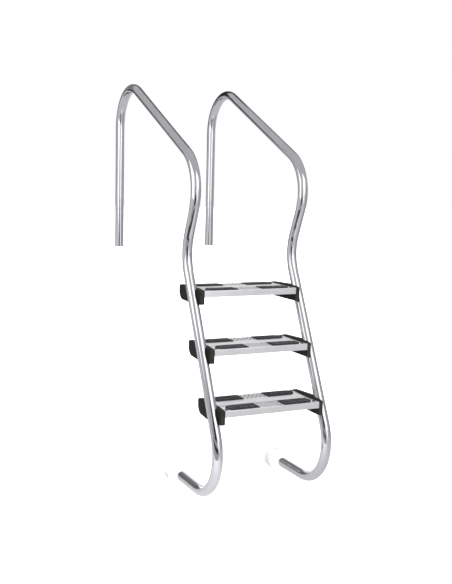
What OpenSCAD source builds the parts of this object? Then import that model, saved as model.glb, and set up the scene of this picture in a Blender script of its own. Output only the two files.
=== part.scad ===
/* [Rails] */
// Distance between the centrelines of the two rails
rail_spacing = 500; // [450:10:600]
// Outer diameter of the rail tube
tube_d = 43; // [40:1:44]
// Wall thickness of the rail tube
tube_wall = 1.5; // [1.2:0.1:2.5]
// Height of the top bend's corner above the leg's end
top_height = 875; // [820:5:950]
// Distance from the legs to the knee's corner, towards the pool
knee_reach = 1018; // [980:1:1060]
// Height of the knee's corner
knee_height = 380; // [350:5:420]
// Distance from the legs to the corner of the S-bend
elbow_reach = 866; // [850:1:885]
// Height of the corner of the S-bend
elbow_height = 32; // [20:1:45]
// Distance from the legs to the foot bend's corner
foot_reach = 1338; // [1320:1:1360]
// Depth of the foot bend's corner below the leg's end
foot_depth = 930; // [900:5:980]
// Distance from the legs to the end of the return tube
return_reach = 850; // [840:1:860]
// Centreline radius of the top bend
top_radius = 180; // [150:5:200]
// Centreline radius of the knee
knee_radius = 180; // [150:5:200]
// Centreline radius of the S-bend
elbow_radius = 192; // [150:1:200]
// Centreline radius of the foot bend
foot_radius = 188; // [150:1:200]

/* [Treads] */
// Depth of the top tread below the leg's end
first_tread_depth = 110; // [105:5:120]
// Height from one tread to the next
tread_pitch = 225; // [200:5:230]
// Width of a tread between its end brackets
tread_length = 430; // [400:1:440]
// Size of a tread from its front edge to its rear edge
tread_depth = 230; // [224:1:232]
// How far a tread's front edge stands in front of the tube's centreline
tread_overhang = 57.5; // [55:0.5:60]
// Height of the folded lips at the front and rear edges
lip_height = 27; // [20:1:30]
// Thickness of the tread's sheet
sheet = 1.5; // [1:0.1:2]
// Distance of the pressed crease behind the front edge
crease_at = 79; // [76:1:84]

/* [Pads] */
// Thickness of a non-slip pad
pad_thickness = 3.2; // [2:0.1:4]
// Size of a pad from front to rear
pad_depth = 65; // [50:1:65]
// Distance from a tread's middle to a pad's straight end
pad_inner = 58; // [40:1:70]
// Distance from a tread's middle to a pad's round end
pad_outer = 193; // [180:1:193]
// Distance of the front row of pads from the tread's front edge
pad_front_margin = 8; // [8:1:10]
// Distance of the rear row of pads from the tread's rear edge
pad_rear_margin = 11; // [8:1:14]

/* [Brackets] */
// Height of an end bracket below the tread's top
bracket_drop = 58; // [54:1:62]
// How far an end bracket stands above the tread's top beside the tube
bracket_rise = 6; // [4:0.5:7]
// Width of the bracket's front face
bracket_front = 19; // [16:1:21]
// Width of the bracket just behind the tube
bracket_flare = 36; // [34:1:37]
// Width of the bracket at its rear end
bracket_rear = 19; // [14:1:22]
// Width of the shelf that carries the tread
shelf_width = 28; // [24:1:32]

/* [Bumpers] */
// Largest diameter of a wall bumper
bumper_d = 92; // [80:1:100]
// Length of a wall bumper outside its tube
bumper_length = 87; // [70:1:95]

/* [Hidden] */
$fn = 96;
eps = 0.5;
tube_r = tube_d / 2;
bore_r = tube_r - tube_wall;
// The tube is drawn slightly slimmer in its bends, which the straight stretches reach into
bend_slimming = 0.12;
overlap = 0.5;

// The rail's corners, as [y, z], from the leg's end to the end of the return tube
corners = [
    [0, 0],
    [0, top_height],
    [-knee_reach, knee_height],
    [-elbow_reach, elbow_height],
    [-foot_reach, -foot_depth],
    [-return_reach, -foot_depth],
];
radii = [0, top_radius, knee_radius, elbow_radius, foot_radius, 0];
last = len(corners) - 1;

function direction(i) = atan2(corners[i + 1][1] - corners[i][1], corners[i + 1][0] - corners[i][0]);
function wrapped(a) = a > 180 ? a - 360 : a < -180 ? a + 360 : a;
function turn(i) = i == 0 || i == last ? 0 : wrapped(direction(i) - direction(i - 1));
function setback(i) = radii[i] * tan(abs(turn(i)) / 2);
function along(i, distance) = corners[i] + distance * [cos(direction(i)), sin(direction(i))];
function run_length(i) = norm(corners[i + 1] - corners[i]) - setback(i) - setback(i + 1);

// The stringer's centreline and the treads that stand on it
stringer_slope = (foot_reach - elbow_reach) / (foot_depth + elbow_height);
stringer_tilt = atan(stringer_slope);
function tread_z(i) = -first_tread_depth - i * tread_pitch;
function tread_front_y(i) = -elbow_reach - (elbow_height - tread_z(i)) * stringer_slope - tread_overhang;

// Positions on one tread, measured back from its front edge and down from its top
half_tread = tread_length / 2;
rail_offset = rail_spacing / 2 - half_tread;
bend_r = 3;
pad_r = pad_depth / 2;
rear_row_at = tread_depth - pad_rear_margin - pad_depth;
screw_inset = 14;
front_screw_at = 21;
rear_screw_at = 209;
screw_d = 6;
screw_head_d = 12;
screw_head_h = 4;
screw_length = 18;
nut_h = 5;
nut_across = 10;

// The shelf, the bolt and the rivet nut of a bracket
shelf_thickness = 9;
shelf_gap = 0.2;
bolt_drop = 18;
bolt_at = tread_overhang - bolt_drop * stringer_slope;
bolt_d = 8;
bolt_length = 25;
bolt_head_across = 13;
bolt_head_h = 5.3;
washer_d = 16;
washer_h = 1.6;
rivet_d = 11;
rivet_length = 17;
rivet_flange_d = 14;
rivet_flange_h = 1;
thread_gap = 0.05;
saddle_gap = 0.1;

// The bumper's plug and its flared end
plug_length = 40;
plug_gap = 0.1;
plug_hollow_r = 12;
bumper_face_r = 32;
bumper_widest_at = 30;

// Points of a circular arc, for rounded outlines
function arc(centre, r, from, to, steps = 12) =
    [for (k = [0:steps]) centre + r * [cos(from + (to - from) * k / steps), sin(from + (to - from) * k / steps)]];

// Turns a drawing in the plane of a rail: its x runs along the row's y, its y up the row's z
module in_rail_plane() {
    rotate([90, 0, 90]) children();
}

// Puts a tread's own parts in place: y runs back from the front edge, z up from the top
module at_tread(i) {
    translate([0, tread_front_y(i), tread_z(i)]) children();
}

// One part for each side of the ladder, drawn for the right side
module on_side(side) {
    if (side < 0) mirror([1, 0, 0]) children();
    else children();
}

// The tube's section
module ring(slimming = 0) {
    difference() {
        circle(tube_r - slimming);
        circle(bore_r - slimming);
    }
}

// Straight stretch i, which reaches a little way into the bends at its ends
module run(i) {
    start = along(i, setback(i) - (i == 0 ? 0 : overlap));
    length = run_length(i) + (i == 0 || i == last - 1 ? 1 : 2) * overlap;
    translate([start[0], start[1], 0]) rotate(direction(i)) rotate([90, 0, 90])
        linear_extrude(length) rotate(180) ring();
}

// The bend at corner i
module bend(i) {
    side = sign(turn(i));
    centre = along(i, setback(i)) + radii[i] * side * [-sin(direction(i)), cos(direction(i))];
    first = side > 0 ? direction(i - 1) - 90 : direction(i) + 90;
    translate([centre[0], centre[1], 0]) rotate(first) rotate_extrude(angle = abs(turn(i)))
        translate([radii[i], 0]) rotate(side > 0 ? 0 : 180) ring(bend_slimming);
}

module tube() {
    for (i = [0:last - 1]) run(i);
    for (i = [1:last - 1]) bend(i);
}

module rail(side) {
    color("silver") on_side(side) difference() {
        translate([rail_spacing / 2, 0, 0]) in_rail_plane() tube();
        for (i = [0:2]) at_tread(i) at_bolt() translate([0, 0, rail_offset - tube_r - eps])
            cylinder(h = tube_r, r = rivet_d / 2 + thread_gap);
    }
}

// The tread's folded sheet, from the side: a top with two lips
module tread_outline() {
    r = bend_r;
    d = tread_depth;
    polygon(concat(
        [[0, -lip_height]], arc([r, -r], r, 180, 90), arc([d - r, -r], r, 90, 0),
        [[d, -lip_height], [d - sheet, -lip_height]],
        arc([d - r, -r], r - sheet, 0, 90), arc([r, -r], r - sheet, 90, 180),
        [[sheet, -lip_height]]
    ));
}

module tread(i) {
    color("lightgray") at_tread(i) difference() {
        translate([-half_tread, 0, 0]) in_rail_plane() linear_extrude(tread_length) tread_outline();
        // The pressed crease behind the front row of pads
        translate([-half_tread - eps, crease_at, 0]) in_rail_plane()
            linear_extrude(tread_length + 2 * eps) polygon([[-1.5, eps], [1.5, eps], [0, -sheet / 2]]);
        at_screws() translate([0, 0, -2 * sheet]) cylinder(h = 3 * sheet, r = screw_d / 2 + 0.2);
    }
}

module at_screws() {
    for (side = [-1, 1]) for (y = [front_screw_at, rear_screw_at])
        translate([side * (half_tread - screw_inset), y, 0]) children();
}

module pad(i, side, row_at) {
    color("dimgray") at_tread(i) on_side(side) translate([0, row_at, 0]) linear_extrude(pad_thickness)
        union() {
            translate([pad_inner, 0]) square([pad_outer - pad_r - pad_inner, pad_depth]);
            translate([pad_outer - pad_r, pad_r]) circle(pad_r);
        }
}

// The bracket seen from the side, with its rounded rear end
module bracket_side() {
    front_top = 1.5;
    rear_top = 4;
    low = -bracket_drop;
    front_r = 5;
    rear_top_r = 14;
    rear_low_r = 44;
    d = tread_depth;
    polygon(concat(
        arc([front_r, low + front_r], front_r, 270, 180),
        arc([front_r, front_top - front_r], front_r, 180, 90),
        [[tread_overhang, bracket_rise], [tread_overhang + 60, bracket_rise]],
        arc([d - rear_top_r, rear_top - rear_top_r], rear_top_r, 90, 0),
        arc([d - rear_low_r, low + rear_low_r], rear_low_r, 0, -90)
    ));
}

// The bracket seen from above: a narrow front, widest just behind the tube
module bracket_plan() {
    nose_r = 3;
    tail_r = 5;
    widest_at = tread_overhang + 26;
    polygon(concat(
        [[0, 0]], arc([bracket_front - nose_r, nose_r], nose_r, -90, 0),
        [[bracket_front + 3, 34], [bracket_flare, widest_at - 20]],
        arc([bracket_flare - tail_r, widest_at], tail_r, 0, 75),
        [[bracket_rear + 8, widest_at + 58]],
        arc([bracket_rear - tail_r, tread_depth - tail_r], tail_r, 0, 90), [[0, tread_depth]]
    ));
}

module at_bolt() {
    translate([half_tread, bolt_at, -bolt_drop]) rotate([0, 90, 0]) children();
}

module bracket(i, side) {
    color([0.13, 0.13, 0.12]) at_tread(i) on_side(side) difference() {
        union() {
            translate([half_tread, 0, 0]) intersection() {
                in_rail_plane() linear_extrude(bracket_flare + eps) bracket_side();
                translate([0, 0, -bracket_drop - eps])
                    linear_extrude(bracket_drop + bracket_rise + 2 * eps) bracket_plan();
            }
            shelf();
        }
        saddle();
        at_bolt() translate([0, 0, -eps]) cylinder(h = tube_r, r = bolt_d / 2 + 0.25);
        at_bolt() translate([0, 0, rail_offset - tube_r - rivet_flange_h - 0.2])
            cylinder(h = tube_r, r = rivet_flange_d / 2 + 0.5);
        bolt_pocket();
        for (y = [front_screw_at, rear_screw_at]) translate([half_tread - screw_inset, y, 0]) {
            translate([0, 0, -20]) cylinder(h = 20, r = screw_d / 2 + 0.25);
        }
    }
}

// The shelf inside the tread's channel
module shelf() {
    wall = sheet + shelf_gap;
    translate([half_tread - shelf_width, wall, -wall - shelf_thickness])
        cube([shelf_width, tread_depth - 2 * wall, shelf_thickness]);
}

// The groove that fits the tilted tube
module saddle() {
    translate([half_tread + rail_offset, tread_overhang, 0]) rotate([-stringer_tilt, 0, 0])
        cylinder(h = 4 * bracket_drop, r = tube_r + saddle_gap, center = true);
}

// Room for the bolt's washer, its head and a socket under the shelf
module bolt_pocket() {
    room = washer_d + 4;
    translate([half_tread - shelf_width - eps, bolt_at - room / 2, -bolt_drop - room / 2])
        cube([shelf_width + eps, room, room]);
}

module tread_screws() {
    color("gray") for (i = [0:2]) at_tread(i) at_screws() difference() {
        union() {
            cylinder(h = screw_head_h, r = screw_head_d / 2);
            translate([0, 0, -screw_length]) cylinder(h = screw_length + eps, r = screw_d / 2);
        }
        // Cross recess
        for (a = [0, 90]) rotate(a) translate([-3.2, -0.7, screw_head_h - 2]) cube([6.4, 1.4, 3]);
    }
}

module tread_nuts() {
    color("gray") for (i = [0:2]) at_tread(i) at_screws()
        translate([0, 0, -sheet - shelf_gap - shelf_thickness - nut_h]) difference() {
            cylinder(h = nut_h, r = nut_across / 2 / cos(30), $fn = 6);
            translate([0, 0, -eps]) cylinder(h = nut_h + 2 * eps, r = screw_d / 2 + thread_gap);
        }
}

// One rail fastener for each bracket, drawn for the right side
module at_every_bolt() {
    for (i = [0:2]) for (side = [-1, 1]) at_tread(i) on_side(side) at_bolt() children();
}

module rail_bolts() {
    color("gray") at_every_bolt() {
        translate([0, 0, -washer_h]) cylinder(h = bolt_length, r = bolt_d / 2);
        translate([0, 0, -washer_h - bolt_head_h])
            cylinder(h = bolt_head_h, r = bolt_head_across / 2 / cos(30), $fn = 6);
    }
}

module rail_washers() {
    color("gray") at_every_bolt() translate([0, 0, -washer_h]) difference() {
        cylinder(h = washer_h, r = washer_d / 2);
        translate([0, 0, -eps]) cylinder(h = washer_h + 2 * eps, r = bolt_d / 2 + 0.2);
    }
}

module rivet_nuts() {
    color("gray") at_every_bolt() translate([0, 0, rail_offset - tube_r - rivet_flange_h]) difference() {
        union() {
            cylinder(h = rivet_flange_h, r = rivet_flange_d / 2);
            cylinder(h = rivet_length, r = rivet_d / 2);
        }
        translate([0, 0, -eps]) cylinder(h = rivet_length + 2 * eps, r = bolt_d / 2 + thread_gap);
    }
}

// The bumper's half section: radius against the distance from the tube's end
module bumper_section() {
    rim_r = 14;
    rim = bumper_d / 2 - rim_r;
    polygon(concat(
        [[plug_hollow_r, -plug_length], [bore_r - plug_gap, -plug_length], [bore_r - plug_gap, 0],
         [tube_r, 0], [tube_r + 1, 8]],
        arc([rim, bumper_widest_at], rim_r, -60, 0),
        arc([bumper_face_r, bumper_length - rim_r], rim_r, 0, 90),
        [[0, bumper_length], [0, 0], [plug_hollow_r, 0]]
    ));
}

module bumper(side) {
    color("white") on_side(side) translate([rail_spacing / 2, -return_reach, -foot_depth])
        rotate([-90, 0, 0]) rotate_extrude() bumper_section();
}

rail(-1);  // left_rail
rail(1);  // right_rail
tread(0);  // top_tread
tread(1);  // middle_tread
tread(2);  // bottom_tread
pad(0, -1, pad_front_margin);  // top_pad_front_left
pad(0, 1, pad_front_margin);  // top_pad_front_right
pad(0, -1, rear_row_at);  // top_pad_rear_left
pad(0, 1, rear_row_at);  // top_pad_rear_right
pad(1, -1, pad_front_margin);  // middle_pad_front_left
pad(1, 1, pad_front_margin);  // middle_pad_front_right
pad(1, -1, rear_row_at);  // middle_pad_rear_left
pad(1, 1, rear_row_at);  // middle_pad_rear_right
pad(2, -1, pad_front_margin);  // bottom_pad_front_left
pad(2, 1, pad_front_margin);  // bottom_pad_front_right
pad(2, -1, rear_row_at);  // bottom_pad_rear_left
pad(2, 1, rear_row_at);  // bottom_pad_rear_right
bracket(0, -1);  // top_bracket_left
bracket(0, 1);  // top_bracket_right
bracket(1, -1);  // middle_bracket_left
bracket(1, 1);  // middle_bracket_right
bracket(2, -1);  // bottom_bracket_left
bracket(2, 1);  // bottom_bracket_right
tread_screws();
tread_nuts();
rail_bolts();
rail_washers();
rivet_nuts();
bumper(-1);  // left_bumper
bumper(1);  // right_bumper
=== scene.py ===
"""The pool ladder's looks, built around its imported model. Metres, in the model's own frame."""
import math

import bmesh
import bpy
import numpy as np
from mathutils import Matrix, Vector


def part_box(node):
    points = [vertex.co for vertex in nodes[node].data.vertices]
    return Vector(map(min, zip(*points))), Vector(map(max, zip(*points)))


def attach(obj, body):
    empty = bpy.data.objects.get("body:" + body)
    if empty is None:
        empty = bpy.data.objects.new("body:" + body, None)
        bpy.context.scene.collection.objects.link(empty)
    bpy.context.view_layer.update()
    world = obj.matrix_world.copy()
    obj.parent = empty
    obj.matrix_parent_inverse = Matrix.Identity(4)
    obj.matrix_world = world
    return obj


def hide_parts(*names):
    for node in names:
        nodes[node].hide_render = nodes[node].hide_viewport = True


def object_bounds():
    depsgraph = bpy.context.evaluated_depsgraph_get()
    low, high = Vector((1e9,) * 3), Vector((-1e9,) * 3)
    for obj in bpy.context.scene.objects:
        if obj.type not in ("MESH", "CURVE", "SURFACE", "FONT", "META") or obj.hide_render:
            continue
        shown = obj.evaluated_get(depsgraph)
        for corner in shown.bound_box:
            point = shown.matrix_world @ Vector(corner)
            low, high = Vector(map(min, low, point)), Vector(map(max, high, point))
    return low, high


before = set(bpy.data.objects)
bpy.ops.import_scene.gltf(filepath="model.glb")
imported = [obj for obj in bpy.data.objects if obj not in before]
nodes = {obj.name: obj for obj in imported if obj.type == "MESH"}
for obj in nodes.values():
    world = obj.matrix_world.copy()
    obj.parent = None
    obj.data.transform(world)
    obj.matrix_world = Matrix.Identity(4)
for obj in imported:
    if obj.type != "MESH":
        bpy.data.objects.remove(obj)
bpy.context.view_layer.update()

SIDES = {"left": -1, "right": 1}    # each side's word, and the sign of its x
LEVELS = ("top", "middle", "bottom")
ROWS = ("front", "rear")

# ---------------------------------------------------------------- the part's own sizes, in metres

RAIL_X = 0.25
TUBE_R = 0.0215
TUBE_WALL = 0.0015
# The rail's corners from the leg's end to the end of the return tube, as (y, z), and its bends' radii
CORNERS = [(0, 0), (0, 0.875), (-1.018, 0.380), (-0.866, 0.032), (-1.338, -0.930), (-0.850, -0.930)]
BENDS = [0.180, 0.180, 0.192, 0.188]

SHEET = 0.0015                # thickness of a tread's sheet
FOLD_R = 0.003                # outside radius of the folds at its front and rear
LIP = 0.027                   # height of its front and rear lips
CREASE_AT = 0.079             # the crease and the screws, behind the tread's front edge
SCREWS_AT = (0.021, 0.209)
SCREW_INSET = 0.014           # from the tread's end to a screw's middle
SCREW_R = 0.003
SCREW_HEAD_R = 0.006
SCREW_HEAD = 0.004
SCREW_LENGTH = 0.018

BUMPER_R = 0.046
BUMPER_LENGTH = 0.087
BUMPER_FACE_R = 0.032
BUMPER_WIDEST_AT = 0.030
PLUG_LENGTH = 0.040
PLUG_HOLLOW_R = 0.012


# ---------------------------------------------------------------- mesh helpers

def make_object(name, verts, faces, sharp_angle=40):
    """A smooth-shaded mesh object whose edges stay sharp where they turn more than sharp_angle degrees."""
    mesh = bpy.data.meshes.new(name)
    mesh.from_pydata([tuple(v) for v in verts], [], [tuple(f) for f in faces])
    bm = bmesh.new()
    bm.from_mesh(mesh)
    bmesh.ops.recalc_face_normals(bm, faces=bm.faces)
    bm.to_mesh(mesh)
    bm.free()
    mesh.shade_smooth()
    mesh.set_sharp_from_angle(angle=math.radians(sharp_angle))
    obj = bpy.data.objects.new(name, mesh)
    bpy.context.scene.collection.objects.link(obj)
    return obj


def welded(obj, outward=False):
    """The object with its doubled points made one, and its normals turned outward if asked."""
    bm = bmesh.new()
    bm.from_mesh(obj.data)
    bmesh.ops.remove_doubles(bm, verts=bm.verts, dist=1e-7)
    if outward:
        bmesh.ops.recalc_face_normals(bm, faces=bm.faces)
    bm.to_mesh(obj.data)
    bm.free()
    return obj


def mark(obj, name, values):
    """Stores one number per vertex, which the object's material reads."""
    obj.data.attributes.new(name, "FLOAT", "POINT").data.foreach_set("value", np.asarray(values, np.float32))


def grid_faces(rows, cols, wrap_rows=False, wrap_cols=False, first=0):
    """Quads between neighbours of a rows by cols grid of vertices."""
    faces = []
    for i in range(rows if wrap_rows else rows - 1):
        for j in range(cols if wrap_cols else cols - 1):
            i2, j2 = (i + 1) % rows, (j + 1) % cols
            faces.append([first + i * cols + j, first + i * cols + j2, first + i2 * cols + j2, first + i2 * cols + j])
    return faces


def revolved(profile, steps, axis_point):
    """A closed surface turned about a line along Y: profile is (distance along the axis, radius)."""
    verts = []
    for along, radius in profile:
        for k in range(steps):
            a = 2 * math.pi * k / steps
            verts.append((axis_point[0] + radius * math.cos(a), axis_point[1] + along,
                          axis_point[2] + radius * math.sin(a)))
    return verts, grid_faces(len(profile), steps, wrap_cols=True)


def finish_piece(obj, node, material):
    """The piece rides on the ladder, stands for its CAD node and takes its material."""
    obj.data.materials.clear()
    obj.data.materials.append(material)
    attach(obj, "root")
    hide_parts(node)


# ---------------------------------------------------------------- materials

class Nodes:
    """A short way to build a material's nodes."""

    def __init__(self, name):
        self.material = bpy.data.materials.new(name)
        self.material.use_nodes = True
        self.tree = self.material.node_tree
        self.shader = self.tree.nodes["Principled BSDF"]

    def add(self, kind, **settings):
        """A new node, whose settings are values of its inputs or its own properties."""
        node = self.tree.nodes.new(kind)
        for key, value in settings.items():
            if key in node.inputs:
                node.inputs[key].default_value = value
            else:
                setattr(node, key, value)
        return node

    def link(self, source, target):
        self.tree.links.new(source, target)

    def set(self, **values):
        """Sets constants on the shader's own sockets."""
        for key, value in values.items():
            self.shader.inputs[key.replace("_", " ")].default_value = value

    def coordinates(self, scale):
        """The object's own coordinates, stretched by a factor along each axis."""
        place = self.add("ShaderNodeTexCoord")
        mapping = self.add("ShaderNodeMapping")
        mapping.inputs["Scale"].default_value = scale
        self.link(place.outputs["Object"], mapping.inputs["Vector"])
        return mapping.outputs["Vector"]

    def noise(self, scale, vector=None, detail=4.0):
        node = self.add("ShaderNodeTexNoise")
        node.inputs["Scale"].default_value = scale
        node.inputs["Detail"].default_value = detail
        if vector is None:
            vector = self.coordinates((1, 1, 1))
        self.link(vector, node.inputs["Vector"])
        return node.outputs["Fac"]

    def spread(self, value, low, high):
        """Maps a 0 to 1 value onto low to high."""
        node = self.add("ShaderNodeMapRange")
        node.inputs["To Min"].default_value = low
        node.inputs["To Max"].default_value = high
        self.link(value, node.inputs["Value"])
        return node.outputs["Result"]

    def blend_colours(self, value, first, second):
        """From one colour to another, over the middle part of a noise's range."""
        ramp = self.add("ShaderNodeValToRGB")
        for element, position, colour in zip(ramp.color_ramp.elements, (0.35, 0.65), (first, second)):
            element.position = position
            element.color = (*colour, 1)
        self.link(value, ramp.inputs["Fac"])
        return ramp.outputs["Color"]

    def bump(self, height, distance, strength=1.0):
        node = self.add("ShaderNodeBump")
        node.inputs["Distance"].default_value = distance
        node.inputs["Strength"].default_value = strength
        self.link(height, node.inputs["Height"])
        self.link(node.outputs["Normal"], self.shader.inputs["Normal"])


def polished_steel():
    """Mirror-polished tube, with faint smears and a slight waviness from the bending."""
    m = Nodes("polished_steel")
    m.set(Metallic=1.0)
    smears = m.noise(9.0, detail=5.0)
    m.link(m.blend_colours(smears, (0.710, 0.700, 0.745), (0.765, 0.755, 0.800)), m.shader.inputs["Base Color"])
    m.link(m.spread(m.noise(60.0), 0.05, 0.12), m.shader.inputs["Roughness"])
    m.bump(m.noise(24.0, detail=0.5), 0.0007)
    return m.material


def satin_steel():
    """Satin sheet: fine lengthwise brushing, with painted shade darkening it where it is pressed or creased."""
    m = Nodes("satin_steel")
    m.set(Specular_IOR_Level=0.2)
    brushed = m.noise(1.0, m.coordinates((25, 1400, 1400)), 3.0)
    unshaded = m.blend_colours(m.noise(14.0), (0.865, 0.865, 0.89), (0.925, 0.925, 0.95))
    painted_shade = m.add("ShaderNodeAttribute", attribute_name="painted_shade").outputs["Fac"]
    # Painted shade: where the pressed pattern, crease and seats are, the colour goes near black and stops being
    # metal, standing for their shade and dark reflections
    mix = m.add("ShaderNodeMix", data_type="RGBA")
    mix.inputs[7].default_value = (0.02, 0.02, 0.022, 1)
    m.link(painted_shade, mix.inputs[0])
    m.link(unshaded, mix.inputs[6])
    m.link(mix.outputs[2], m.shader.inputs["Base Color"])
    m.link(m.spread(painted_shade, 1.0, 0.0), m.shader.inputs["Metallic"])
    dulled = m.add("ShaderNodeMath", operation="MULTIPLY_ADD", use_clamp=True)
    dulled.inputs[1].default_value = 0.6
    m.link(painted_shade, dulled.inputs[0])
    m.link(m.spread(brushed, 0.22, 0.36), dulled.inputs[2])
    m.link(dulled.outputs[0], m.shader.inputs["Roughness"])
    m.bump(brushed, 0.00004, 0.4)
    return m.material


def shade_darkened_steel():
    """Dull steel, unevenly worn, for the fasteners: darker in colour, as painted shade for the screws' recessed
    seats.
    """
    m = Nodes("shade_darkened_steel")
    m.set(Metallic=1.0)
    worn = m.noise(300.0)
    # Painted shade: the low base colour darkens every fastener, standing for the shade in the screws' recesses
    m.link(m.blend_colours(worn, (0.13, 0.13, 0.135), (0.22, 0.22, 0.225)), m.shader.inputs["Base Color"])
    m.link(m.spread(worn, 0.22, 0.42), m.shader.inputs["Roughness"])
    m.bump(m.noise(1500.0), 0.00002, 0.4)
    return m.material


def pad_rubber():
    """Charcoal rubber: its studs are worn paler than the ground between them, in patches."""
    m = Nodes("pad_rubber")
    m.set(IOR=1.5, Specular_IOR_Level=0.35)
    ground = m.blend_colours(m.noise(55.0), (0.008, 0.008, 0.009), (0.015, 0.015, 0.017))
    stud = m.add("ShaderNodeAttribute", attribute_name="stud").outputs["Fac"]
    worn = m.spread(m.noise(1.0, m.coordinates((150, 50, 1)), 2.0), -1.2, 2.2)
    share = m.add("ShaderNodeMath", operation="MULTIPLY", use_clamp=True)
    m.link(stud, share.inputs[0])
    m.link(worn, share.inputs[1])
    mix = m.add("ShaderNodeMix", data_type="RGBA")
    mix.inputs[7].default_value = (0.17, 0.17, 0.175, 1)
    m.link(share.outputs[0], mix.inputs[0])
    m.link(ground, mix.inputs[6])
    m.link(mix.outputs[2], m.shader.inputs["Base Color"])
    m.link(m.spread(m.noise(400.0), 0.48, 0.72), m.shader.inputs["Roughness"])
    m.bump(m.noise(2200.0), 0.00006, 0.6)
    return m.material


def bracket_plastic():
    """Black moulded plastic with a fine matt grain."""
    m = Nodes("bracket_plastic")
    m.set(IOR=1.45, Specular_IOR_Level=0.06)
    tone = m.noise(30.0)
    m.link(m.blend_colours(tone, (0.014, 0.014, 0.0125), (0.021, 0.021, 0.0185)), m.shader.inputs["Base Color"])
    m.link(m.spread(m.noise(250.0), 0.48, 0.64), m.shader.inputs["Roughness"])
    m.bump(m.noise(1800.0), 0.00008, 0.5)
    return m.material


def bumper_rubber():
    """Milky white rubber that lets a little light in."""
    m = Nodes("bumper_rubber")
    m.set(IOR=1.45, Subsurface_Weight=0.6, Subsurface_Scale=0.012)
    m.set(Subsurface_Radius=(1.0, 1.0, 1.0), Transmission_Weight=0.15)
    milky = m.noise(35.0)
    m.link(m.blend_colours(milky, (0.95, 0.955, 0.955), (0.98, 0.98, 0.98)), m.shader.inputs["Base Color"])
    m.link(m.spread(m.noise(180.0), 0.25, 0.40), m.shader.inputs["Roughness"])
    m.bump(m.noise(900.0), 0.00005, 0.3)
    return m.material


MATERIALS = {
    "rail_tube": polished_steel(),
    "tread_sheet": satin_steel(),
    "non_slip_pad": pad_rubber(),
    "bracket_plastic": bracket_plastic(),
    "fastener_steel": shade_darkened_steel(),
    "bumper_rubber": bumper_rubber(),
}


# ---------------------------------------------------------------- rails

def rail_stations(step=math.radians(2.5)):
    """Points of the rail's centreline as (y, z, direction), with its bends in even steps."""
    points = [Vector(c) for c in CORNERS]
    stations = []
    runs = [math.atan2(*(b - a).yx) for a, b in zip(points, points[1:])]    # each straight run's direction
    stations.append((*points[0], runs[0]))
    for k, radius in enumerate(BENDS):
        turn = (runs[k + 1] - runs[k] + math.pi) % (2 * math.pi) - math.pi
        side = math.copysign(1, turn)
        setback = radius * math.tan(abs(turn) / 2)
        start = points[k + 1] - setback * Vector((math.cos(runs[k]), math.sin(runs[k])))
        centre = start + side * radius * Vector((-math.sin(runs[k]), math.cos(runs[k])))
        steps = math.ceil(abs(turn) / step)
        for j in range(steps + 1):
            a = runs[k] + turn * j / steps
            out = side * radius * Vector((math.sin(a), -math.cos(a)))
            stations.append((*(centre + out), a))
    stations.append((*points[-1], runs[-1]))
    return stations


def rail(name, side):
    """One bent tube: its outside, its bore and softened cut edges, as one closed sweep."""
    stations = rail_stations()
    edge = 0.0004    # the softening of a cut edge
    bore = TUBE_R - TUBE_WALL
    around = 72

    def along(station, distance):
        y, z, a = station
        return (y + distance * math.cos(a), z + distance * math.sin(a), a)

    def cut(station, inward):
        """The rings of a cut end, from outside to bore; inward is the way back into the tube."""
        return [(along(station, inward * edge), TUBE_R), (station, TUBE_R - edge),
                (station, bore + edge), (along(station, inward * edge), bore)]

    middle = stations[1:-1]
    rings = cut(stations[0], 1)[::-1] + [(s, TUBE_R) for s in middle]
    rings += cut(stations[-1], -1) + [(s, bore) for s in middle[::-1]]
    verts = []
    for (y, z, a), radius in rings:
        for k in range(around):
            t = 2 * math.pi * k / around
            off = radius * math.sin(t)
            verts.append((side * RAIL_X + radius * math.cos(t), y - off * math.sin(a), z + off * math.cos(a)))
    faces = grid_faces(len(rings), around, wrap_rows=True, wrap_cols=True)
    return make_object(name, verts, faces)


for word, side in SIDES.items():
    finish_piece(rail(f"{word}_rail_tube", side), f"{word}_rail", MATERIALS["rail_tube"])


# ---------------------------------------------------------------- treads

PRESSED_UP = 0.0009      # how far the pattern stands up, and the crease and the screws' seats go down
CREASE_DOWN = 0.0014
SEAT_DOWN = 0.0005
CREASE_HALF = 0.0050     # half the crease's width, with the part of it that slopes
CREASE_SLOPE = 0.0020
SEAT_R = 0.0100          # a seat's radius, with the part of it that slopes
SEAT_SLOPE = 0.0030
PATTERN_GAP = 0.0050     # from the pattern to the pads beside it
PATTERN_FADE = 0.0030    # over which the pattern fades at its edges
CREASE_ENDS = 0.0120     # the crease stops this far short of the tread's ends
CREASE_FADE = 0.0040


def stations_between(start, end, pitch):
    """Even steps of about a pitch from start up to, and not including, end."""
    count = max(1, round((end - start) / pitch))
    return list(np.linspace(start, end, count, endpoint=False))


def ring_pattern(x, y):
    """Rows of small pressed rings, 0 to 1, at arrays of places."""
    across, down = 0.0240, 0.0280    # between rings, sideways and from row to row
    radius, width = 0.0090, 0.0034
    row = np.floor(y / down)
    shift = np.where(row % 2 == 0, across / 4, -across / 4)
    middle = np.round((x - shift) / across) * across + shift
    away = np.hypot(x - middle, y - (row + 0.5) * down)
    return np.clip(1 - np.abs(away - radius) / width, 0, 1)


def lattice_pattern(x, y):
    """A pressed lattice of crossing ribs, 0 to 1."""
    pitch, slant, width = 0.0200, 0.70, 0.0030
    ribs = [(x + side * y * slant) / pitch for side in (-1, 1)]
    away = np.minimum(*[np.abs(rib - np.round(rib)) for rib in ribs]) * pitch
    return np.clip(1 - away / width, 0, 1)


def eased(value):
    """A 0 to 1 ramp with soft ends."""
    value = np.clip(value, 0, 1)
    return value * value * (3 - 2 * value)


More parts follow.
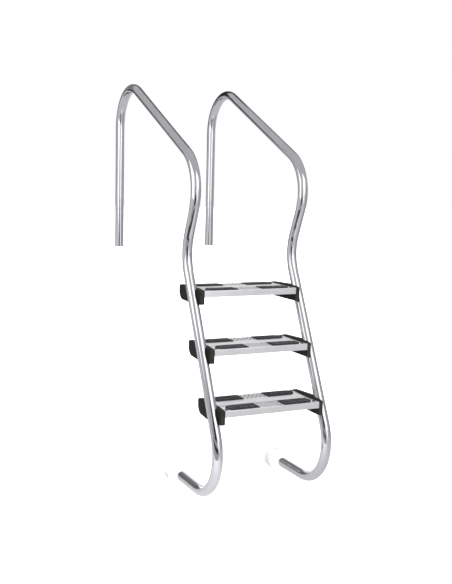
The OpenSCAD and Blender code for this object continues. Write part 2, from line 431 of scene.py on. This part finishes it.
def tread(level):
    """The folded sheet: its outline from the side swept across, with the pressed pattern, crease and dimples."""
    low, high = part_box(f"{level}_tread")
    front, depth, top, half = low.y, high.y - low.y, high.z, (high.x - low.x) / 2
    rows = {}
    for row in ROWS:
        pad_low, pad_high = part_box(f"{level}_pad_{row}_right")
        rows[row] = (pad_low.y - front, pad_high.y - front)
    zone = pad_low.x - PATTERN_GAP
    finest, fine, medium, coarse = 0.0005, 0.0009, 0.002, 0.008
    end_pitch = 0.001

    # The outline, as (distance behind the front edge, height, angle of the outward normal)
    above_fold = FOLD_R + 0.001
    outline = [(0, -LIP, math.pi), (0, -above_fold, math.pi)]
    fold = [math.radians(degrees) for degrees in range(0, 91, 15)]
    outline += [(FOLD_R - FOLD_R * math.cos(a), -FOLD_R + FOLD_R * math.sin(a), math.pi - a) for a in fold]
    first_flat = len(outline)
    beside = CREASE_HALF + 0.0005
    stops = [FOLD_R, *rows["front"], CREASE_AT - beside, CREASE_AT + beside, *rows["rear"], depth - FOLD_R]
    pitches = (end_pitch, fine, medium, finest, coarse, fine, end_pitch)
    flats = []
    for start, end, pitch in zip(stops, stops[1:], pitches):
        flats += stations_between(start, end, pitch)
    outline += [(y, 0, math.pi / 2) for y in flats[1:]]
    end_flat = len(outline)
    outline += [(depth - FOLD_R + FOLD_R * math.sin(a), -FOLD_R + FOLD_R * math.cos(a), math.pi / 2 - a)
                for a in fold]
    outline += [(depth, -above_fold, 0), (depth, -LIP, 0)]

    screw_x = half - SCREW_INSET
    seated = SEAT_R + 0.001
    bounds = [-half, -screw_x - seated, -screw_x + seated, -zone, zone, screw_x - seated, half]
    xs = []
    for start, end, pitch in zip(bounds, bounds[1:], (fine, fine, coarse, fine, coarse, fine)):
        xs += stations_between(start, end, pitch)
    xs.append(half)

    x = np.array(xs)[:, None]
    y = np.array([point[0] for point in outline])[None, :]
    flat = np.zeros((1, len(outline)))
    flat[0, first_flat:end_flat] = 1
    pressed = np.zeros((len(xs), len(outline)))
    for row, pattern in (("front", ring_pattern), ("rear", lattice_pattern)):
        start, end = rows[row]
        within = eased((zone - np.abs(x)) / PATTERN_FADE) * eased(np.minimum(y - start, end - y) / PATTERN_FADE)
        pressed += within * pattern(x, y - (start + end) / 2)
    groove = eased((CREASE_HALF - np.abs(y - CREASE_AT)) / CREASE_SLOPE)
    groove = groove * eased((half - CREASE_ENDS - np.abs(x)) / CREASE_FADE)
    seat = np.zeros_like(pressed)
    for at in SCREWS_AT:
        seat += eased((SEAT_R - np.hypot(np.abs(x) - screw_x, y - at)) / SEAT_SLOPE)
    relief = (PRESSED_UP * pressed - CREASE_DOWN * groove - SEAT_DOWN * seat) * flat

    outer, inner = [], []
    for i, x_here in enumerate(xs):
        for j, (y_here, z_here, a) in enumerate(outline):
            lift = relief[i, j]
            outer.append((x_here, front + y_here, top + z_here + lift))
            inner.append((x_here, front + y_here - SHEET * math.cos(a), top + z_here + lift - SHEET * math.sin(a)))
    across, along = len(xs), len(outline)
    size = across * along
    faces = grid_faces(across, along)
    faces += [[size + v for v in face[::-1]] for face in faces]
    for i in (0, across - 1):
        edge = [i * along + j for j in range(along)]
        faces += [[v, w, size + w, size + v] for v, w in zip(edge, edge[1:])]
    for j in (0, along - 1):
        edge = [i * along + j for i in range(across)]
        faces += [[v, w, size + w, size + v] for v, w in zip(edge, edge[1:])]
    obj = make_object(f"{level}_tread_sheet", outer + inner, faces, 50)
    # Painted shade: the pressed pattern, the crease and the screws' seats are marked to be darkened in colour, for
    # the shade and dark reflections in them
    painted_shade = np.clip(pressed + 1.1 * groove + 0.6 * seat, 0, 1) * flat
    mark(obj, "painted_shade", np.concatenate([painted_shade.ravel(), np.zeros(size)]))
    return obj


for level in LEVELS:
    finish_piece(tread(level), f"{level}_tread", MATERIALS["tread_sheet"])


# ---------------------------------------------------------------- pads

def pad(name, node, side):
    """A D-shaped pad with eased edges, whose top carries rows of round studs."""
    low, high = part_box(node)
    inner, outer = sorted((abs(low.x), abs(high.x)))
    radius = (high.y - low.y) / 2
    middle, base, top = low.y + radius, low.z, high.z
    ease = 0.0008                           # radius of the pad's upper edge
    pitch, row_pitch = 0.0082, 0.0082 * 0.87    # between studs, and between their rows
    stud_r, stud_h, clear = 0.0027, 0.0012, 0.0042
    rows, cols = 72, 150
    verts, studs = [], []

    def stud(x, y):
        """Share of a stud's height at a place on the pad."""
        row = round((y - middle) / row_pitch)
        shift = (row % 2) * pitch / 2
        stud_x = round((x - inner - shift) / pitch) * pitch + inner + shift
        stud_y = middle + row * row_pitch
        room = radius - clear
        reach = math.sqrt(max(room ** 2 - (stud_y - middle) ** 2, 0))
        if abs(stud_y - middle) > room or not inner + clear < stud_x < outer - radius + reach:
            return 0
        return math.sqrt(max(1 - math.hypot(x - stud_x, y - stud_y) / stud_r, 0))

    def layer(shrink, z, studded=False):
        """The pad's outline, shrunk a little, as a grid at a height."""
        room = radius - shrink
        for i in range(rows + 1):
            y = room * (2 * i / rows - 1)
            end = outer - radius + math.sqrt(max(room ** 2 - y ** 2, 0))
            for j in range(cols + 1):
                x = inner + shrink + (end - inner - shrink) * j / cols
                share = stud(x, middle + y) if studded else 0
                verts.append((side * x, middle + y, z + stud_h * share))
                studs.append(share)

    layer(0, base)
    layer(0, top - ease)
    layer(ease * 0.3, top - ease * 0.3)
    layer(ease, top, True)
    # Only the lowest and the highest layer keep their inside: the rims of all four are joined
    size = (rows + 1) * (cols + 1)
    faces = grid_faces(rows + 1, cols + 1) + grid_faces(rows + 1, cols + 1, first=3 * size)
    rim = list(range(cols)) + [i * (cols + 1) + cols for i in range(rows)]
    rim += [rows * (cols + 1) + j for j in range(cols, 0, -1)] + [i * (cols + 1) for i in range(rows, 0, -1)]
    for v, w in zip(rim, rim[1:] + rim[:1]):
        for n in range(3):
            faces.append([n * size + v, n * size + w, (n + 1) * size + w, (n + 1) * size + v])
    used = sorted({v for face in faces for v in face})
    new = {v: k for k, v in enumerate(used)}
    obj = make_object(name, [verts[v] for v in used], [[new[v] for v in face] for face in faces], 60)
    mark(obj, "stud", [studs[v] for v in used])
    return obj


for level in LEVELS:
    for row in ROWS:
        for word, side in SIDES.items():
            node = f"{level}_pad_{row}_{word}"
            finish_piece(pad(f"{node}_studded", node, side), node, MATERIALS["non_slip_pad"])


# ---------------------------------------------------------------- tread screws

def screw_shape(place):
    """A pan head with a cross recess on a plain shank, as points and faces."""
    rings, around = 26, 64
    cross_reach, cross_half, cross_depth = 0.0034, 0.0008, 0.0018
    tip = 0.0005    # the bevel at the shank's end
    verts = []
    for k in range(rings + 1):
        share = k / rings
        for j in range(around):
            a = 2 * math.pi * j / around
            u, v = SCREW_HEAD_R * share * math.cos(a), SCREW_HEAD_R * share * math.sin(a)
            height = SCREW_HEAD * (1 - share ** 5) ** 0.4
            if max(abs(u), abs(v)) < cross_reach and min(abs(u), abs(v)) < cross_half:
                height -= cross_depth
            verts.append((u, v, height))
    faces = grid_faces(rings + 1, around, wrap_cols=True)
    below = [(SCREW_HEAD_R, 0.0), (SCREW_R, 0.0), (SCREW_R, -SCREW_LENGTH + tip),
             (SCREW_R - tip, -SCREW_LENGTH), (0.0, -SCREW_LENGTH)]
    first = len(verts) - around
    for radius, z in below[1:]:
        for j in range(around):
            a = 2 * math.pi * j / around
            verts.append((radius * math.cos(a), radius * math.sin(a), z))
    faces += grid_faces(len(below), around, wrap_cols=True, first=first)
    return [Vector(v) + place for v in verts], faces


def tread_screws():
    """All the treads' screws, as the one node that they are in the model."""
    verts, faces = [], []
    for level in LEVELS:
        low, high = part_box(f"{level}_tread")
        for side in SIDES.values():
            for at in SCREWS_AT:
                place = Vector((side * (high.x - SCREW_INSET), low.y + at, high.z))
                more_verts, more_faces = screw_shape(place)
                faces += [[len(verts) + v for v in face] for face in more_faces]
                verts += more_verts
    return welded(make_object("tread_screw_set", verts, faces, 35))


finish_piece(tread_screws(), "tread_screws", MATERIALS["fastener_steel"])


# ---------------------------------------------------------------- brackets

def moulded(name, node, voxel=0.0011, rounds=4):
    """The CAD bracket remeshed fine and eased, so that every edge has a moulded radius."""
    mesh = nodes[node].data.copy()
    obj = bpy.data.objects.new(name, mesh)
    bpy.context.scene.collection.objects.link(obj)
    weld = obj.modifiers.new("weld", "WELD")
    weld.merge_threshold = 0.00001
    remesh = obj.modifiers.new("remesh", "REMESH")
    remesh.mode = "VOXEL"
    remesh.voxel_size = voxel
    ease = obj.modifiers.new("ease", "SMOOTH")
    ease.iterations = rounds
    ease.factor = 0.5
    done = bpy.data.meshes.new_from_object(obj.evaluated_get(bpy.context.evaluated_depsgraph_get()))
    obj.modifiers.clear()
    obj.data = done
    done.shade_smooth()
    return obj


for level in LEVELS:
    for word in SIDES:
        node = f"{level}_bracket_{word}"
        finish_piece(moulded(f"{node}_moulding", node), node, MATERIALS["bracket_plastic"])


# ---------------------------------------------------------------- bumpers

def bumper(name, side):
    """A white bumper: a hollow plug inside the tube, a flared neck and a drum with rounded rims."""
    gap, fillet, bevel = 0.0001, 0.0005, 0.001
    plug_r = TUBE_R - TUBE_WALL - gap
    rim = 0.014
    profile = [(0.0, 0.0), (0.0, PLUG_HOLLOW_R - fillet), (-fillet, PLUG_HOLLOW_R),
               (-PLUG_LENGTH + bevel, PLUG_HOLLOW_R), (-PLUG_LENGTH, PLUG_HOLLOW_R + bevel),
               (-PLUG_LENGTH, plug_r - bevel), (-PLUG_LENGTH + bevel, plug_r),
               (gap, plug_r), (gap, TUBE_R - fillet - gap), (fillet + gap, TUBE_R)]
    neck, shoulder = (0.006, TUBE_R + fillet), (BUMPER_WIDEST_AT - rim * 0.8, BUMPER_R - rim * 0.4)
    steps = 12
    for k in range(steps + 1):
        t = k / steps
        profile.append((neck[0] + (shoulder[0] - neck[0]) * t, neck[1] + (shoulder[1] - neck[1]) * t ** 1.6))
    for degrees in range(-45, 1, 5):
        a = math.radians(degrees)
        profile.append((BUMPER_WIDEST_AT + rim * math.sin(a), BUMPER_R - rim + rim * math.cos(a)))
    for degrees in range(0, 91, 6):
        a = math.radians(degrees)
        profile.append((BUMPER_LENGTH - rim + rim * math.sin(a), BUMPER_FACE_R + rim * math.cos(a)))
    profile += [(BUMPER_LENGTH, 0.020), (BUMPER_LENGTH, 0.0)]
    start_y, start_z = CORNERS[-1]
    verts, faces = revolved(profile, 72, (side * RAIL_X, start_y, start_z))
    return welded(make_object(name, verts, faces, 60), outward=True)


for word, side in SIDES.items():
    finish_piece(bumper(f"{word}_wall_bumper", side), f"{word}_bumper", MATERIALS["bumper_rubber"])


# ---------------------------------------------------------------- fasteners, as the CAD has them

for node in ("tread_nuts", "rail_bolts", "rail_washers", "rivet_nuts"):
    nodes[node].data.materials.clear()
    nodes[node].data.materials.append(MATERIALS["fastener_steel"])


# ---------------------------------------------------------------- floor, light and camera

AIM = Vector((0, -0.6, 0))    # what the studio's lamps and screens face
STEEL_SHOWS = 0.75            # share of a screen's brightness that the polished tubes give back
FLOOR_HALF = 40.0             # half the floor's width, and half that of the one the steel shows
MIRRORED_HALF = 12.0


def heading(azimuth, elevation):
    """The direction at an azimuth, clockwise from +Y, and an elevation, in degrees."""
    a, e = math.radians(azimuth), math.radians(elevation)
    return Vector((math.cos(e) * math.sin(a), math.cos(e) * math.cos(a), math.sin(e)))


def facing(azimuth, elevation, distance, tilt=0):
    """A place around the ladder that faces it along its own Z, turned by tilt."""
    way = heading(azimuth, elevation)
    right = way.cross(Vector((0, 0, 1))).normalized()
    turn = Matrix((right, right.cross(way), -way)).transposed()
    turn = turn @ Matrix.Rotation(math.radians(tilt), 3, "Z")
    return Matrix.Translation(AIM + distance * way) @ turn.to_4x4()


def add_lamp(name, data, place):
    """A lamp, which shines along its own -Z, at a place that faces the ladder."""
    lamp = bpy.data.objects.new(name, data)
    lamp.matrix_world = place @ Matrix.Rotation(math.pi, 4, "X")
    bpy.context.scene.collection.objects.link(lamp)
    return lamp


def soft_box(name, azimuth, elevation, distance, half_width, half_height, tilt, level):
    """A lamp panel, which only gloss shows: half its size is in degrees, and level is how bright tubes look."""
    data = bpy.data.lights.new(name, "AREA")
    data.shape = "RECTANGLE"
    data.size = 2 * distance * math.tan(math.radians(half_width))
    data.size_y = 2 * distance * math.tan(math.radians(half_height))
    data.energy = level / STEEL_SHOWS * math.pi * data.size * data.size_y
    lamp = add_lamp(name, data, facing(azimuth, elevation, distance, tilt))
    lamp.visible_camera = False
    lamp.visible_diffuse = False


def only_mirrored(obj):
    """Seen in the steel and nowhere else."""
    obj.visible_camera = False
    obj.visible_diffuse = False
    obj.visible_shadow = False
    obj.visible_transmission = False


def glow(name, level):
    """A plain glowing material, and its emission node."""
    m = Nodes(name)
    output = m.tree.nodes["Material Output"]
    light = m.add("ShaderNodeEmission")
    light.inputs["Strength"].default_value = level / STEEL_SHOWS
    m.link(light.outputs["Emission"], output.inputs["Surface"])
    return m, light


def level_plate(name, centre, half, z):
    """One level square, with its middle at a centre in x and y."""
    corners = [(centre.x + sx * half, centre.y + sy * half, z) for sx, sy in ((-1, -1), (1, -1), (1, 1), (-1, 1))]
    return make_object(name, corners, [(0, 1, 2, 3)])


def screen(name, azimuth, elevation, distance, half_width, half_height, tilt, level):
    """A plain screen of a given level, which only the steel shows."""
    w, h = (distance * math.tan(math.radians(half)) for half in (half_width, half_height))
    obj = make_object(name, [(-w, -h, 0), (w, -h, 0), (w, h, 0), (-w, h, 0)], [(0, 1, 2, 3)])
    obj.matrix_world = facing(azimuth, elevation, distance, tilt)
    obj.data.materials.append(glow(name, level)[0].material)
    only_mirrored(obj)


def pale_floor(z):
    """White, and glowing a little so that it meets the white behind it without a line."""
    floor = level_plate("floor", AIM.xy, FLOOR_HALF, z)
    m = Nodes("pale_floor")
    m.set(Roughness=0.9, Emission_Color=(1, 1, 1, 1), Emission_Strength=0.6)
    m.link(m.blend_colours(m.noise(3.0), (0.90, 0.90, 0.90), (0.92, 0.92, 0.92)), m.shader.inputs["Base Color"])
    floor.data.materials.append(m.material)
    floor.visible_glossy = False
    floor.visible_diffuse = False


def mirrored_floor(z):
    """The floor as the steel shows it: pale near the ladder's foot and greyer further out."""
    centre = Vector((-0.73, -1.69))    # where the floor is palest, in front of the ladder's foot
    obj = level_plate("mirrored_floor", centre, MIRRORED_HALF, z)
    m, light = glow("mirrored_floor", 1.0)
    place = m.add("ShaderNodeTexCoord")
    away = m.add("ShaderNodeVectorMath", operation="DISTANCE")
    away.inputs[1].default_value = (centre.x, centre.y, z)
    m.link(place.outputs["Object"], away.inputs[0])
    fade = m.add("ShaderNodeMapRange", interpolation_type="SMOOTHSTEP")
    for key, value in (("From Min", 0.1), ("From Max", 1.3), ("To Min", 0.90), ("To Max", 0.48)):
        fade.inputs[key].default_value = value
    m.link(away.outputs["Value"], fade.inputs["Value"])
    m.link(fade.outputs["Result"], light.inputs["Color"])
    obj.data.materials.append(m.material)
    only_mirrored(obj)


def white_world(around=0.39, backdrop=0.69, rim=0.16):
    """Plain white to the camera. The steel shows grey all round, and a dark-rimmed backdrop behind the ladder."""
    world = bpy.data.worlds.new("studio")
    bpy.context.scene.world = world
    world.use_nodes = True
    tree = world.node_tree
    tree.nodes.clear()

    def node(kind, **inputs):
        made = tree.nodes.new(kind)
        for key, value in inputs.items():
            made.inputs[key.replace("_", " ")].default_value = value
        return made

    place = node("ShaderNodeTexCoord")
    dot = node("ShaderNodeVectorMath")
    dot.operation = "DOT_PRODUCT"
    dot.inputs[1].default_value = heading(26, -7)    # the middle of the backdrop
    tree.links.new(place.outputs["Generated"], dot.inputs[0])
    turn = node("ShaderNodeMath")
    turn.operation = "ARCCOSINE"
    tree.links.new(dot.outputs["Value"], turn.inputs[0])
    shown = node("ShaderNodeValToRGB")
    tree.links.new(turn.outputs["Value"], shown.inputs["Fac"])
    stops = [(26, backdrop), (34, rim), (60, rim), (86, around)]    # degrees from that middle
    while len(shown.color_ramp.elements) < len(stops):
        shown.color_ramp.elements.new(0.5)
    for element, (degrees, level) in zip(shown.color_ramp.elements, stops):
        element.position = math.radians(degrees)
        element.color = (level, level, level, 1)
    studio = node("ShaderNodeBackground", Strength=1 / STEEL_SHOWS)
    tree.links.new(shown.outputs["Color"], studio.inputs["Color"])
    white = node("ShaderNodeBackground", Color=(1, 1, 1, 1))
    path = node("ShaderNodeLightPath")
    mix = node("ShaderNodeMixShader")
    output = node("ShaderNodeOutputWorld")
    tree.links.new(path.outputs["Is Camera Ray"], mix.inputs["Fac"])
    tree.links.new(studio.outputs["Background"], mix.inputs[1])
    tree.links.new(white.outputs["Background"], mix.inputs[2])
    tree.links.new(mix.outputs["Shader"], output.inputs["Surface"])


def sun(name, azimuth, elevation, energy, angle):
    """Wide, soft light from a direction, for everything but the steel."""
    data = bpy.data.lights.new(name, "SUN")
    data.energy = energy
    data.angle = math.radians(angle)
    add_lamp(name, data, facing(azimuth, elevation, 3.0)).visible_glossy = False


def photo_camera():
    """Seen from the pool's side, a little to the left of the ladder and about level with its legs' ends."""
    yaw, pitch, roll = math.radians(25.63), math.radians(-7.15), math.radians(1.31)
    place = (-1.6628, -4.2112, 0.3302)
    data = bpy.data.cameras.new("camera")
    data.lens = 53.54
    camera = bpy.data.objects.new("camera", data)
    turn = Matrix.Rotation(-yaw, 4, "Z") @ Matrix.Rotation(math.pi / 2 + pitch, 4, "X")
    camera.matrix_world = Matrix.Translation(place) @ turn @ Matrix.Rotation(roll, 4, "Z")
    bpy.context.scene.collection.objects.link(camera)
    bpy.context.scene.camera = camera


floor_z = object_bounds()[0].z
pale_floor(floor_z - 0.001)
mirrored_floor(floor_z - 0.002)
white_world()

# Each sun: azimuth, elevation, energy, width in degrees
sun("top_light", 200, 78, 1.8, 90)
sun("front_light", 195, 5, 8.5, 60)

# Each panel: azimuth, elevation, distance, half width, half height, tilt. A line is a darker strip before a screen.
soft_box("right_soft_box", 168, 24, 3.0, 19, 19, 31, level=0.88)
soft_box("left_soft_box", -108, 22, 1.5, 21, 20, 12, level=0.84)
screen("front_reflector", -179, -1, 2.9, 17, 9, 41, level=1.0)
screen("high_screen", -2, 42, 1.5, 29, 8, 42, level=0.22)
screen("high_line", -2, 42, 1.44, 29, 5, 42, level=0.02)
screen("back_screen", -23, -6, 2.2, 16, 7, 0, level=0.10)
screen("left_wall", -110, -10, 8.0, 66, 8, 0, level=0.52)
screen("right_screen", 113, -10, 1.6, 26, 25, -32, level=0.29)
screen("front_screen", -137, -27, 1.56, 27, 13, 5, level=0.30)
screen("front_line", -137, -27, 1.50, 27, 3.5, 5, level=0.04)
screen("low_screen", -147, -9, 1.74, 19, 16, -43, level=0.30)
screen("low_line", -147, -9, 1.66, 19, 8, -43, level=0.02)
photo_camera()
bpy.context.scene.view_settings.view_transform = "Standard"
